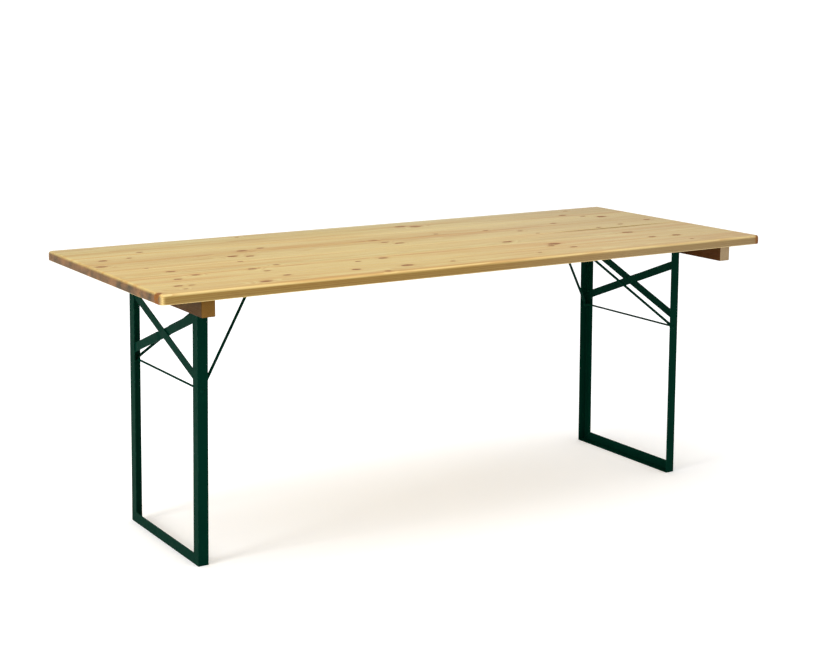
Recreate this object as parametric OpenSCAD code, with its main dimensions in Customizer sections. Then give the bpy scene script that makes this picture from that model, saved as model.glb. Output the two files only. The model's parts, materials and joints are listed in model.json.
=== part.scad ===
// Folding garden table. Seven tongue-and-groove boards lie on two cross battens. At each end a
// frame of welded steel angle hangs on two hinges under the top and folds flat against it. A bow
// of round bar turns on an axle across each frame and snaps into a keeper under the top, which
// holds the frame open. X runs along the table, Y across it from front to rear, Z up. The origin
// is on the floor under the middle of the top. Sizes are in millimetres.

/* [Table top] */
// Length of the top
top_l = 2000; // [1900:10:2200]
// Width of the top
top_w = 800; // [790:1:820]
// Height of the top face above the floor
table_h = 780; // [770:1:790]
// Thickness of the boards
top_t = 27; // [25:0.5:30]
// Radius of the four corners seen from above
corner_r = 18; // [15:1:50]
// Width of the front board
first_board_w = 125; // [118:1:130]
// Cover width of the boards behind it, of which the rear one is ripped to fit
board_w = 120; // [115:1:122]
// Thickness of a tongue
tongue_t = 6; // [5:0.5:8]
// How far a tongue reaches into the next board
tongue_d = 6; // [5:0.5:7]

/* [Battens] */
// Width of a batten, along the table
batten_w = 38; // [34:1:45]
// Height of a batten
batten_h = 44; // [42:1:46]
// Length of a batten, across the table
batten_l = 770; // [750:1:780]
// Distance from the middle of the table to a batten's inner face
batten_x = 847; // [840:1:855]

/* [Leg frames] */
// Flange width of the steel angle
angle_w = 30; // [28:1:32]
// Thickness of the steel angle
angle_t = 3; // [2.5:0.5:4]
// Outer width of a frame, across the table
frame_w = 454; // [440:1:470]
// Distance from the middle of the table to a hinge axis
hinge_x = 809; // [805:1:812]
// Distance of a hinge axis below the boards
hinge_drop = 26; // [25:0.5:27]
// Outward tilt of an open frame, in degrees
splay = 1; // [0.5:0.1:1.5]
// Width of a brace bar
brace_w = 25; // [20:1:28]
// Thickness of a brace bar
brace_t = 3; // [3:0.5:4]
// Distance from the hinge axis to the point where the braces cross
brace_drop = 133; // [125:1:135]
// Slope of the braces, in degrees
brace_a = 21.3; // [20:0.1:23]
// Distance from the hinge axis to the axle
axle_drop = 247; // [244:1:250]
// Diameter of the axle
axle_d = 6; // [5:0.5:7]

/* [Bows] */
// Diameter of the round bar
bow_d = 8; // [7:0.5:9]
// Distance from the middle of the table to the tip of an open bow
tip_x = 558; // [556:1:562]
// Distance of the tip's centre line below the boards
tip_drop = 12; // [11:0.5:13]
// Half the width of the tip, measured between the corners of the bends
tip_half_w = 36; // [32:1:40]
// Radius of the bends beside the tip, on the centre line
bend_r = 16; // [12:1:20]
// Outer diameter of the eyes that turn on the axle
eye_d = 16; // [14:0.5:18]
// Length of an eye along the axle
eye_w = 8; // [7:0.5:9]

/* [Hinges] */
// Thickness of a hinge bracket
bracket_t = 3; // [2.5:0.5:3.5]
// Width of a bracket's ear
ear_w = 23; // [20:1:23]
// Length of a bracket's base, along the table
bracket_l = 42; // [40:1:46]
// Width of a bracket's base, across the table
bracket_w = 52; // [48:1:56]
// Diameter of a hinge rivet
hinge_rivet_d = 8; // [7:0.5:9]

/* [Latches] */
// Thickness of a keeper
keeper_t = 2.5; // [2:0.5:2.5]
// Length of a keeper's base, along the table
keeper_l = 84; // [80:1:88]
// Width of a keeper's base, across the table
keeper_w = 50; // [46:1:54]
// Width of a keeper's hook
hook_w = 24; // [20:1:28]
// Slope of the hook's lip, in degrees
hook_slope = 22; // [20:1:23]
// Width of a latch leaf
leaf_w = 20; // [16:1:22]
// Thickness of a latch leaf
leaf_t = 1; // [0.8:0.1:1.2]

/* [Hidden] */
$fn = 48;

// Sides of the table, and front and rear
LEFT = -1;
RIGHT = 1;
FRONT = -1;
REAR = 1;

pine = "#e0c48c";
pine_dark = "#d6b57e";
batten_pine = "#9c6b3a";
green_paint = "#0e372a";
zinc = "#b9bcc0";
spring_steel = "#4a4f57";

// Gap between parts that only lie beside each other
gap = 0.4;
// Radial clearance of a shaft that turns in its hole
running = 0.08;
// Radial clearance of a fastener in its hole
fastened = 0.05;

// Height of the boards' underside, and the same below a hinge and beside a tip
under_z = table_h - top_t;
hinge_z = under_z - hinge_drop;
tip_z = under_z - tip_drop;

// Half the width of a frame and of a flange, and the length of a frame past the floor cut
half_frame = frame_w / 2;
half_flange = angle_w / 2;
leg_l = (hinge_z + half_flange * sin(splay)) / cos(splay) + 0.1;

// An open frame's axle, and the bow that reaches from it to the tip
axle_x = hinge_x + axle_drop * sin(splay);
axle_z = hinge_z - axle_drop * cos(splay);
bow_a = atan2(tip_z - axle_z, axle_x - tip_x);
bow_l = norm([tip_z - axle_z, axle_x - tip_x]);
eye_gap = 1;
eye_y = half_frame - angle_t - eye_gap - eye_w / 2;
arm_a = atan2(eye_y - tip_half_w, bow_l);
bend_turn = 90 - arm_a;
bend_tangent = bend_r * tan(bend_turn / 2);
arm_l = norm([bow_l, eye_y - tip_half_w]) - bend_tangent;
// The bar swells a little in its bends, and the straight bars reach into them
bend_swell = 0.05;
bend_overlap = 1;

// Braces: half length, and the joggle of one over the other
brace_end_y = half_frame - angle_t - brace_w / 2 * sin(brace_a) - 4;
brace_half_l = brace_end_y / cos(brace_a);
joggle = brace_t + 0.2;
joggle_flat = 36;
joggle_ramp = 10;

// Heads of the riveted axle
axle_head_d = 13;
axle_head_h = 3.5;

// Hinges: a washer stands between each ear and its upright
washer_d = 16;
washer_t = 1;
washer_gap = 0.3;
ear_y = half_frame - angle_t - washer_t - 2 * washer_gap - bracket_t;
hinge_head_d = 15;
hinge_head_h = 4;

// Keeper: its base reaches past the tip, and its hook stands clear around the tip
keeper_past_tip = 22;
keeper_x = tip_x + keeper_past_tip - keeper_l;
hook_wall_x = tip_x + bow_d / 2 + 1.5;
hook_end_x = tip_x - 6.5;
hook_clear = 0.6;

// Latch leaf: it turns about its rivets and its lip stands above the tip's way out
leaf_x = tip_x - 48;
leaf_z = under_z - keeper_t - 1.3;
leaf_root = 6;
lip_x = tip_x - 10;
lip_drop = 3.2;
lip_h = 3.6;
lip_flare = 0.8;
leaf_rivet_d = 4;
leaf_rivet_head_d = 7;
leaf_rivet_head_h = 1.4;
leaf_rivet_y = 5;
leaf_rivet_slack = 0.4;
leaf_play = 0.6;

// Fasteners: diameter, length below the head, head diameter, head height
batten_screw = [5, 54, 9.5, 3];
hinge_screw = [4.5, 22, 8.5, 2.6];
keeper_screw = [4, 19, 8, 2.4];
batten_recess = 6;

// Seams between the boards, from front to rear
board_count = 7;
function seam_y(i) = i == 0 ? -top_w / 2
  : i == board_count ? top_w / 2
  : -top_w / 2 + first_board_w + (i - 1) * board_w;
function board_mid(i) = (seam_y(i) + seam_y(i + 1)) / 2;

// Places of the screws as [x, y], on the right-hand side of the table
batten_mid = batten_x + batten_w / 2;
screw_step = 30;
screw_stagger = 6;
batten_spots = [
  for (i = [0:board_count - 2], k = [-1, 1])
    [batten_mid + k * screw_stagger, board_mid(i) + k * screw_step],
  [batten_mid, board_mid(board_count - 1)]
];
hinge_screw_x = 13;
hinge_screw_y = [186, 213];
hinge_spots = [
  for (e = [FRONT, REAR], k = [-1, 1], y = hinge_screw_y) [hinge_x + k * hinge_screw_x, e * y]
];
keeper_screw_x = [keeper_x + 8, keeper_x + keeper_l - 7];
keeper_screw_y = 18;
keeper_spots = [for (x = keeper_screw_x, k = [-1, 1]) [x, k * keeper_screw_y]];

// ---- Helpers ----------------------------------------------------------------------------

// Puts a part made for the right-hand side on the side s
module on_side(s) {
  if (s == LEFT) mirror([1, 0, 0]) children();
  else children();
}

// Puts a part made for the rear on the end e
module on_end(e) {
  if (e == FRONT) mirror([0, 1, 0]) children();
  else children();
}

// Extrudes an outline drawn in Y and Z along X
module extrude_x(x0, x1) {
  translate([x0, 0, 0]) rotate([90, 0, 90]) linear_extrude(x1 - x0) children();
}

// Extrudes an outline drawn in X and Z along Y
module extrude_y(y0, y1) {
  translate([0, y1, 0]) rotate([90, 0, 0]) linear_extrude(y1 - y0) children();
}

// A round shaft along Y
module shaft_y(d, y0, y1) {
  translate([0, y1, 0]) rotate([90, 0, 0]) cylinder(d = d, h = y1 - y0);
}

// Domed rivet head on the XY plane
module dome(d, h) {
  ball_r = (d * d / 4 + h * h) / (2 * h);
  intersection() {
    translate([0, 0, h - ball_r]) sphere(r = ball_r);
    cylinder(d = d + 1, h = h + 1);
  }
}

// Wood screw pointing up, with a domed head below z = 0
module pan_screw(s) {
  rotate([180, 0, 0]) dome(s[2], s[3]);
  cylinder(d = s[0], h = s[1] - s[0]);
  translate([0, 0, s[1] - s[0]]) cylinder(d1 = s[0], d2 = 0.4, h = s[0]);
}

// Wood screw pointing up, with a flat head whose face is at z = 0
module flat_screw(s) {
  cylinder(d1 = s[2], d2 = s[0], h = s[3]);
  translate([0, 0, s[3]]) cylinder(d = s[0], h = s[1] - s[3] - s[0]);
  translate([0, 0, s[1] - s[0]]) cylinder(d1 = s[0], d2 = 0.4, h = s[0]);
}

// Stands a leg part, made upright about the hinge axis, where an open frame has it
module on_frame(s) {
  on_side(s) difference() {
    translate([hinge_x, 0, hinge_z]) rotate([0, -splay, 0]) children();
    translate([0, -top_w / 2, -20]) cube([top_l / 2, top_w, 20]);
  }
}

// ---- Table top --------------------------------------------------------------------------

// Outline of the whole top seen from above
module top_outline() {
  square([top_l - 2 * corner_r, top_w], center = true);
  square([top_l, top_w - 2 * corner_r], center = true);
  for (sx = [-1, 1], sy = [-1, 1])
    translate([sx * (top_l / 2 - corner_r), sy * (top_w / 2 - corner_r)]) circle(r = corner_r);
}

// Section of board i in Y and Z, with a groove at its front and a tongue at its rear
module board_section(i) {
  y0 = seam_y(i) + (i == 0 ? 0 : gap / 2);
  y1 = seam_y(i + 1) - (i == board_count - 1 ? 0 : gap / 2);
  mid_z = under_z + top_t * 0.45;
  difference() {
    union() {
      translate([y0, under_z]) square([y1 - y0, top_t]);
      if (i < board_count - 1)
        translate([y1 - 1, mid_z - tongue_t / 2]) square([tongue_d + 1, tongue_t]);
    }
    if (i > 0)
      translate([y0 - 1, mid_z - tongue_t / 2 - gap / 2])
        square([tongue_d + gap + 1, tongue_t + gap]);
  }
}

// Pilot hole for a screw that enters the boards from below
module pilots(spots, s, depth, i) {
  for (side = [LEFT, RIGHT], p = spots)
    if (p[1] > seam_y(i) && p[1] < seam_y(i + 1))
      translate([side * p[0], p[1], under_z - 1]) cylinder(d = s[0] + 2 * fastened, h = depth + 1);
}

module board(i) {
  color(i % 2 == 0 ? pine : pine_dark)
    difference() {
      if (i == 0 || i == board_count - 1)
        intersection() {
          extrude_x(-top_l / 2, top_l / 2) board_section(i);
          translate([0, 0, under_z - 1]) linear_extrude(top_t + 2) top_outline();
        }
      else extrude_x(-top_l / 2, top_l / 2) board_section(i);
      pilots(batten_spots, batten_screw, batten_screw[1] + batten_recess - batten_h + 0.3, i);
      pilots(hinge_spots, hinge_screw, hinge_screw[1] - bracket_t + 0.3, i);
      pilots(keeper_spots, keeper_screw, keeper_screw[1] - keeper_t + 0.3, i);
    }
}

module batten(s) {
  color(batten_pine) on_side(s)
    difference() {
      translate([batten_x, -batten_l / 2, under_z - batten_h])
        cube([batten_w, batten_l, batten_h]);
      for (p = batten_spots)
        translate([p[0], p[1], under_z - batten_h]) {
          translate([0, 0, -1])
            cylinder(d = batten_screw[2] + 1, h = batten_recess + batten_screw[3] + 1);
          cylinder(d = batten_screw[0] + 2 * fastened, h = batten_h + 1);
        }
    }
}

module batten_screws() {
  color(zinc)
    for (s = [LEFT, RIGHT], p = batten_spots)
      translate([s * p[0], p[1], under_z - batten_h + batten_recess]) flat_screw(batten_screw);
}

// ---- Hinges -----------------------------------------------------------------------------

// Folded plate: a base under the boards and an ear beside the upright
module hinge_bracket(s, e) {
  color(green_paint) on_side(s) on_end(e)
    difference() {
      union() {
        translate([hinge_x, 0, hinge_z])
          extrude_y(ear_y, ear_y + bracket_t) {
            circle(d = ear_w);
            translate([-ear_w / 2, 0]) square([ear_w, hinge_drop]);
          }
        translate([hinge_x - bracket_l / 2, ear_y + bracket_t - bracket_w, under_z - bracket_t])
          cube([bracket_l, bracket_w, bracket_t]);
      }
      translate([hinge_x, 0, hinge_z])
        shaft_y(hinge_rivet_d + 2 * fastened, ear_y - 1, ear_y + bracket_t + 1);
      for (p = hinge_spots)
        if (p[1] > 0)
          translate([p[0], p[1], under_z - bracket_t - 1])
            cylinder(d = hinge_screw[0] + 2 * fastened, h = bracket_t + 2);
    }
}

module hinge_screws() {
  color(zinc)
    for (s = [LEFT, RIGHT], p = hinge_spots)
      translate([s * p[0], p[1], under_z - bracket_t]) pan_screw(hinge_screw);
}

// Rivets that the uprights turn on, headed over the ear and over the upright
module hinge_rivets() {
  outer_y = half_frame + washer_gap;
  color(green_paint)
    for (s = [LEFT, RIGHT], e = [FRONT, REAR])
      on_side(s) on_end(e) translate([hinge_x, 0, hinge_z]) {
        shaft_y(hinge_rivet_d, ear_y, outer_y);
        translate([0, outer_y, 0]) rotate([-90, 0, 0]) dome(hinge_head_d, hinge_head_h);
        translate([0, ear_y, 0]) rotate([90, 0, 0]) dome(hinge_head_d - 1, hinge_head_h - 1);
      }
}

module hinge_washers() {
  y0 = ear_y + bracket_t + washer_gap;
  color(zinc)
    for (s = [LEFT, RIGHT], e = [FRONT, REAR])
      on_side(s) on_end(e) translate([hinge_x, 0, hinge_z])
        difference() {
          shaft_y(washer_d, y0, y0 + washer_t);
          shaft_y(hinge_rivet_d + 2 * washer_gap, y0 - 1, y0 + washer_t + 1);
        }
}

// ---- Latches ----------------------------------------------------------------------------

// Height of the hook's upper face at x
function hook_z(x) =
  tip_z - (bow_d / 2 + hook_clear) / cos(hook_slope) + (x - tip_x) * tan(hook_slope);

// Base plate under the boards with a hook that the bow's tip rests in
module keeper(s) {
  lip_t = keeper_t / cos(hook_slope);
  base_z = under_z - keeper_t;
  wall_x = hook_wall_x + keeper_t;
  color(green_paint) on_side(s)
    difference() {
      union() {
        translate([keeper_x, -keeper_w / 2, base_z]) cube([keeper_l, keeper_w, keeper_t]);
        extrude_y(-hook_w / 2, hook_w / 2)
          polygon([
            [hook_wall_x, base_z + keeper_t / 2], [hook_wall_x, hook_z(hook_wall_x)],
            [hook_end_x, hook_z(hook_end_x)], [hook_end_x, hook_z(hook_end_x) - lip_t],
            [wall_x, hook_z(wall_x) - lip_t], [wall_x, base_z + keeper_t / 2]
          ]);
      }
      for (p = keeper_spots)
        translate([p[0], p[1], base_z - 1])
          cylinder(d = keeper_screw[0] + 2 * fastened, h = keeper_t + 2);
      for (y = [-leaf_rivet_y, leaf_rivet_y])
        translate([leaf_x, y, base_z - 1])
          cylinder(d = leaf_rivet_d + 2 * fastened, h = keeper_t + 2);
    }
}

module keeper_screws() {
  color(zinc)
    for (s = [LEFT, RIGHT], p = keeper_spots)
      translate([s * p[0], p[1], under_z - keeper_t]) pan_screw(keeper_screw);
}

// Rivets that hang the leaf under the keeper, flush with the keeper's upper face
module leaf_rivets() {
  head_z = leaf_z - leaf_t / 2 - leaf_play;
  color(zinc)
    for (s = [LEFT, RIGHT], y = [-leaf_rivet_y, leaf_rivet_y])
      translate([s * leaf_x, y, 0]) {
        translate([0, 0, head_z]) cylinder(d = leaf_rivet_d, h = under_z - head_z);
        translate([0, 0, head_z]) rotate([180, 0, 0]) dome(leaf_rivet_head_d, leaf_rivet_head_h);
      }
}

// Spring leaf with a turned-down lip, which drops behind the tip when the bow snaps in
module latch_leaf(s) {
  top_z = leaf_z + leaf_t / 2;
  low_z = top_z - lip_drop;
  root_x = leaf_x + leaf_root;
  color(spring_steel) on_side(s)
    difference() {
      extrude_y(-leaf_w / 2, leaf_w / 2)
        polygon([
          [leaf_x - leaf_root, top_z], [root_x, top_z], [lip_x, low_z],
          [lip_x + lip_flare, low_z - lip_h], [lip_x - leaf_t, low_z - lip_h],
          [lip_x - leaf_t, low_z - leaf_t], [root_x, top_z - leaf_t],
          [leaf_x - leaf_root, top_z - leaf_t]
        ]);
      for (y = [-leaf_rivet_y, leaf_rivet_y])
        translate([leaf_x, y, low_z])
          cylinder(d = leaf_rivet_d + 2 * leaf_rivet_slack, h = top_z - low_z + 1);
    }
}

// ---- Leg frames -------------------------------------------------------------------------

// Upright of steel angle: one flange faces the end of the table, the other faces outwards in Y
// and has a round top end that carries the hinge
module upright(s, e) {
  color(green_paint) on_frame(s) on_end(e)
    difference() {
      union() {
        extrude_x(half_flange - angle_t, half_flange)
          polygon([
            [half_frame, -leg_l], [half_frame, 0], [half_frame - angle_w, 0],
            [half_frame - angle_w, angle_w - leg_l]
          ]);
        extrude_y(half_frame - angle_t, half_frame) {
          translate([-half_flange, -leg_l]) square([angle_w - angle_t, leg_l]);
          circle(r = half_flange);
        }
      }
      shaft_y(hinge_rivet_d + 2 * running, half_frame - angle_t - 1, half_frame + 1);
      translate([0, 0, -axle_drop])
        shaft_y(axle_d + 2 * fastened, half_frame - angle_t - 1, half_frame + 1);
    }
}

// Foot of the same angle, mitred between the uprights, with its other flange on the floor
module foot_bar(s) {
  color(green_paint) on_frame(s) {
    extrude_x(half_flange - angle_t, half_flange)
      polygon([
        [-half_frame, -leg_l], [half_frame, -leg_l],
        [half_frame - angle_w, angle_w - leg_l], [angle_w - half_frame, angle_w - leg_l]
      ]);
    translate([-half_flange, angle_t - half_frame, -leg_l])
      cube([angle_w - angle_t, frame_w - 2 * angle_t, angle_t]);
  }
}

// Flat bar welded behind the uprights' end flanges; rise is its slope and step its joggle
module brace(s, rise, step) {
  x1 = half_flange - angle_t;
  x0 = x1 - brace_t;
  flat = joggle_flat;
  ramp = joggle_flat + joggle_ramp;
  color(green_paint) on_frame(s)
    translate([0, 0, -brace_drop]) rotate([rise * brace_a, 0, 0])
      linear_extrude(brace_w, center = true)
        polygon([
          [x1, -brace_half_l], [x1, -ramp], [x1 - step, -flat], [x1 - step, flat],
          [x1, ramp], [x1, brace_half_l], [x0, brace_half_l], [x0, ramp],
          [x0 - step, flat], [x0 - step, -flat], [x0, -ramp], [x0, -brace_half_l]
        ]);
}

// Rod through both uprights, riveted over on the outside
module axle(s) {
  color(green_paint) on_frame(s)
    translate([0, 0, -axle_drop]) {
      shaft_y(axle_d, -half_frame, half_frame);
      for (e = [FRONT, REAR])
        on_end(e) translate([0, half_frame, 0]) rotate([-90, 0, 0]) dome(axle_head_d, axle_head_h);
    }
}

// ---- Bows -------------------------------------------------------------------------------

// One arm of a bow, from its eye to the bend beside the tip, drawn towards -X
module bow_arm() {
  translate([0, eye_y, 0]) {
    rotate([0, 0, arm_a]) rotate([0, -90, 0]) cylinder(d = bow_d, h = arm_l + bend_overlap);
    shaft_y(eye_d, -eye_w / 2, eye_w / 2);
  }
  translate([bend_r - bow_l, tip_half_w - bend_tangent, 0]) rotate([0, 0, 180 - bend_turn])
    rotate_extrude(angle = bend_turn) translate([bend_r, 0]) circle(r = bow_d / 2 + bend_swell);
}

module bow(s) {
  tip_flat = tip_half_w - bend_tangent + bend_overlap;
  color(green_paint) on_side(s)
    translate([axle_x, 0, axle_z]) rotate([0, bow_a, 0])
      difference() {
        union() {
          bow_arm();
          mirror([0, 1, 0]) bow_arm();
          translate([-bow_l, 0, 0]) shaft_y(bow_d, -tip_flat, tip_flat);
        }
        shaft_y(axle_d + 2 * running, -half_frame, half_frame);
      }
}

// ---- Nodes ------------------------------------------------------------------------------

board(0);  // board_1
board(1);  // board_2
board(2);  // board_3
board(3);  // board_4
board(4);  // board_5
board(5);  // board_6
board(6);  // board_7
batten(LEFT);  // batten_left
batten(RIGHT);  // batten_right
batten_screws();
hinge_bracket(LEFT, FRONT);  // hinge_bracket_front_left
hinge_bracket(LEFT, REAR);  // hinge_bracket_rear_left
hinge_bracket(RIGHT, FRONT);  // hinge_bracket_front_right
hinge_bracket(RIGHT, REAR);  // hinge_bracket_rear_right
hinge_screws();
hinge_rivets();
hinge_washers();
keeper(LEFT);  // keeper_left
keeper(RIGHT);  // keeper_right
keeper_screws();
leaf_rivets();
latch_leaf(LEFT);  // latch_leaf_left
latch_leaf(RIGHT);  // latch_leaf_right
upright(LEFT, FRONT);  // upright_front_left
upright(LEFT, REAR);  // upright_rear_left
foot_bar(LEFT);  // foot_bar_left
brace(LEFT, 1, 0);  // brace_rising_left
brace(LEFT, -1, joggle);  // brace_falling_left
axle(LEFT);  // axle_left
bow(LEFT);  // bow_left
upright(RIGHT, FRONT);  // upright_front_right
upright(RIGHT, REAR);  // upright_rear_right
foot_bar(RIGHT);  // foot_bar_right
brace(RIGHT, 1, 0);  // brace_rising_right
brace(RIGHT, -1, joggle);  // brace_falling_right
axle(RIGHT);  // axle_right
bow(RIGHT);  // bow_right
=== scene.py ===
import json
import math

import bmesh
import bpy
from mathutils import Matrix, Vector


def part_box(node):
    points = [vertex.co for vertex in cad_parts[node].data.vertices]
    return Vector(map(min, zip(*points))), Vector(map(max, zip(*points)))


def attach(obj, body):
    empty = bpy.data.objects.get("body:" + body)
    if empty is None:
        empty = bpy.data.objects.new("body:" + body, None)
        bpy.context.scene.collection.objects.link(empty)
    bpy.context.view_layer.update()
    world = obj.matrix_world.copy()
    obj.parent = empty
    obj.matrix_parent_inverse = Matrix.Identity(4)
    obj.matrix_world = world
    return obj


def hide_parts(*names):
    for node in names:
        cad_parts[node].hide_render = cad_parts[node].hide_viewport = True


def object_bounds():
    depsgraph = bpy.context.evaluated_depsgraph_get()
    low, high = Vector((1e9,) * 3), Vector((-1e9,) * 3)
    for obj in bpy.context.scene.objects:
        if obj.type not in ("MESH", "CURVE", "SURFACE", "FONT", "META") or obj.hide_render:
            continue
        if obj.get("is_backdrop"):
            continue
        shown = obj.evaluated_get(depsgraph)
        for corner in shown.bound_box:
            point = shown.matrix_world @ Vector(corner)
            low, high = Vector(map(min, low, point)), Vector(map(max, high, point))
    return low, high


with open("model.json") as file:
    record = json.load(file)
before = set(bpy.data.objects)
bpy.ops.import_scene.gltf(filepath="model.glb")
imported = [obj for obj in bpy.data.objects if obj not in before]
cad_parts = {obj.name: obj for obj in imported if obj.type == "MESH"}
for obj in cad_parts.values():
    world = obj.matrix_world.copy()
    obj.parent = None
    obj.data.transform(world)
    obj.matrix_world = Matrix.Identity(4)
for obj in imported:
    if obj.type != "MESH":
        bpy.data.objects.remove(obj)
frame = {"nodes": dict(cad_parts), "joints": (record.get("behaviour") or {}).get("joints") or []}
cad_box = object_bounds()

scene = bpy.context.scene


# ---- Camera, floor and light -------------------------------------------------------------
# The table stands in a white studio: a matt floor that runs out of sight and glows a little, a
# white sky that is bright at the horizon and brightest overhead, a large soft lamp above and a
# smaller one at the left.


def srgb(code):
    """Linear colour of an sRGB hex value."""
    parts = [int(code[i:i + 2], 16) / 255 for i in (1, 3, 5)]
    return [c / 12.92 if c <= 0.04045 else ((c + 0.055) / 1.055) ** 2.4 for c in parts] + [1.0]


def add(tree, kind, inputs=None, **settings):
    """Adds a node with its settings, and its inputs as values or as links. Returns its outputs."""
    made = tree.nodes.new(kind)
    for name, value in settings.items():
        setattr(made, name, value)
    for key, value in (inputs or {}).items():
        socket = made.inputs[key]
        if isinstance(value, bpy.types.NodeSocket):
            tree.links.new(value, socket)
        else:
            socket.default_value = value
    return made.outputs


def new_material(name):
    """An empty material and its node tree."""
    material = bpy.data.materials.new(name)
    material.use_nodes = True
    material.node_tree.nodes.clear()
    return material, material.node_tree


camera_data = bpy.data.cameras.new("camera")
camera_data.sensor_width = 36
camera_data.lens = 68.1
camera = bpy.data.objects.new("camera", camera_data)
scene.collection.objects.link(camera)
camera_at = Vector((-2.489, -3.8755, 1.4838))
look_right = 0.5684
look_down = 0.2029
roll = 0.0072
camera.matrix_world = (
    Matrix.Translation(camera_at)
    @ Matrix.Rotation(-look_right, 4, "Z")
    @ Matrix.Rotation(math.pi / 2 - look_down, 4, "X")
    @ Matrix.Rotation(roll, 4, "Z")
)
scene.camera = camera
scene.view_settings.view_transform = "Standard"

floor_size = 60
floor_mesh = bpy.data.meshes.new("floor")
floor_mesh.from_pydata(
    [(x * floor_size, y * floor_size, 0) for x, y in ((-1, -1), (1, -1), (1, 1), (-1, 1))],
    [], [(0, 1, 2, 3)],
)
floor = bpy.data.objects.new("floor", floor_mesh)
scene.collection.objects.link(floor)
floor_paint, tree = new_material("matt_white_floor")
floor_shader = add(tree, "ShaderNodeBsdfPrincipled",
                   {"Base Color": srgb("#f9f9f9"), "Roughness": 0.9, "Specular IOR Level": 0.1,
                    "Emission Color": srgb("#ffffff"), "Emission Strength": 0.12})
add(tree, "ShaderNodeOutputMaterial", {"Surface": floor_shader["BSDF"]})
floor_mesh.materials.append(floor_paint)
floor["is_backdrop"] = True

world = bpy.data.worlds.new("white_studio")
world.use_nodes = True
world.node_tree.nodes.clear()
sky_tree = world.node_tree
height = add(sky_tree, "ShaderNodeSeparateXYZ",
             {0: add(sky_tree, "ShaderNodeTexCoord")["Generated"]})["Z"]
above = add(sky_tree, "ShaderNodeMapRange",
            {"Value": height, "From Min": 0.25, "From Max": 0.9, "To Min": 0.52, "To Max": 1.32},
            interpolation_type="SMOOTHSTEP")[0]
band = add(sky_tree, "ShaderNodeMapRange",
           {"Value": height, "From Min": 0.05, "From Max": 0.22, "To Min": 0.56, "To Max": 0},
           interpolation_type="SMOOTHSTEP")[0]
strength = add(sky_tree, "ShaderNodeMath", {0: above, 1: band}, operation="ADD")[0]
sky = add(sky_tree, "ShaderNodeBackground", {"Color": srgb("#ffffff"), "Strength": strength})
add(sky_tree, "ShaderNodeOutputWorld", {"Surface": sky["Background"]})
scene.world = world

# Name, size in metres, power in watts, where it stands, and what it is turned to
LAMPS = [
    ("overhead_lamp", 3.0, 52, Vector((-0.5, 0.2, 3.8)), Vector((0, 0, 0.5))),
    ("left_lamp", 1.5, 115, Vector((-5.0, -0.8, 1.8)), Vector((-0.8, 0, 0.4))),
]
for name, size, power, stand, target in LAMPS:
    lamp_data = bpy.data.lights.new(name, "AREA")
    lamp_data.size = size
    lamp_data.energy = power
    lamp = bpy.data.objects.new(name, lamp_data)
    scene.collection.objects.link(lamp)
    turned = (target - stand).to_track_quat("-Z", "Y").to_matrix().to_4x4()
    lamp.matrix_world = Matrix.Translation(stand) @ turned


# ---- Boards ------------------------------------------------------------------------------
# Seven sawn and planed pine boards, tongue and groove, glued and screwed to the battens. The
# outer arrises and the four corners are routed round after assembly, and the top is varnished.

MM = 0.001


def cells(*sizes):
    """Texture scale at which one cell is this many millimetres, or one for each axis."""
    scales = [1 / (size * MM) for size in sizes]
    return scales[0] if len(scales) == 1 else scales


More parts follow.
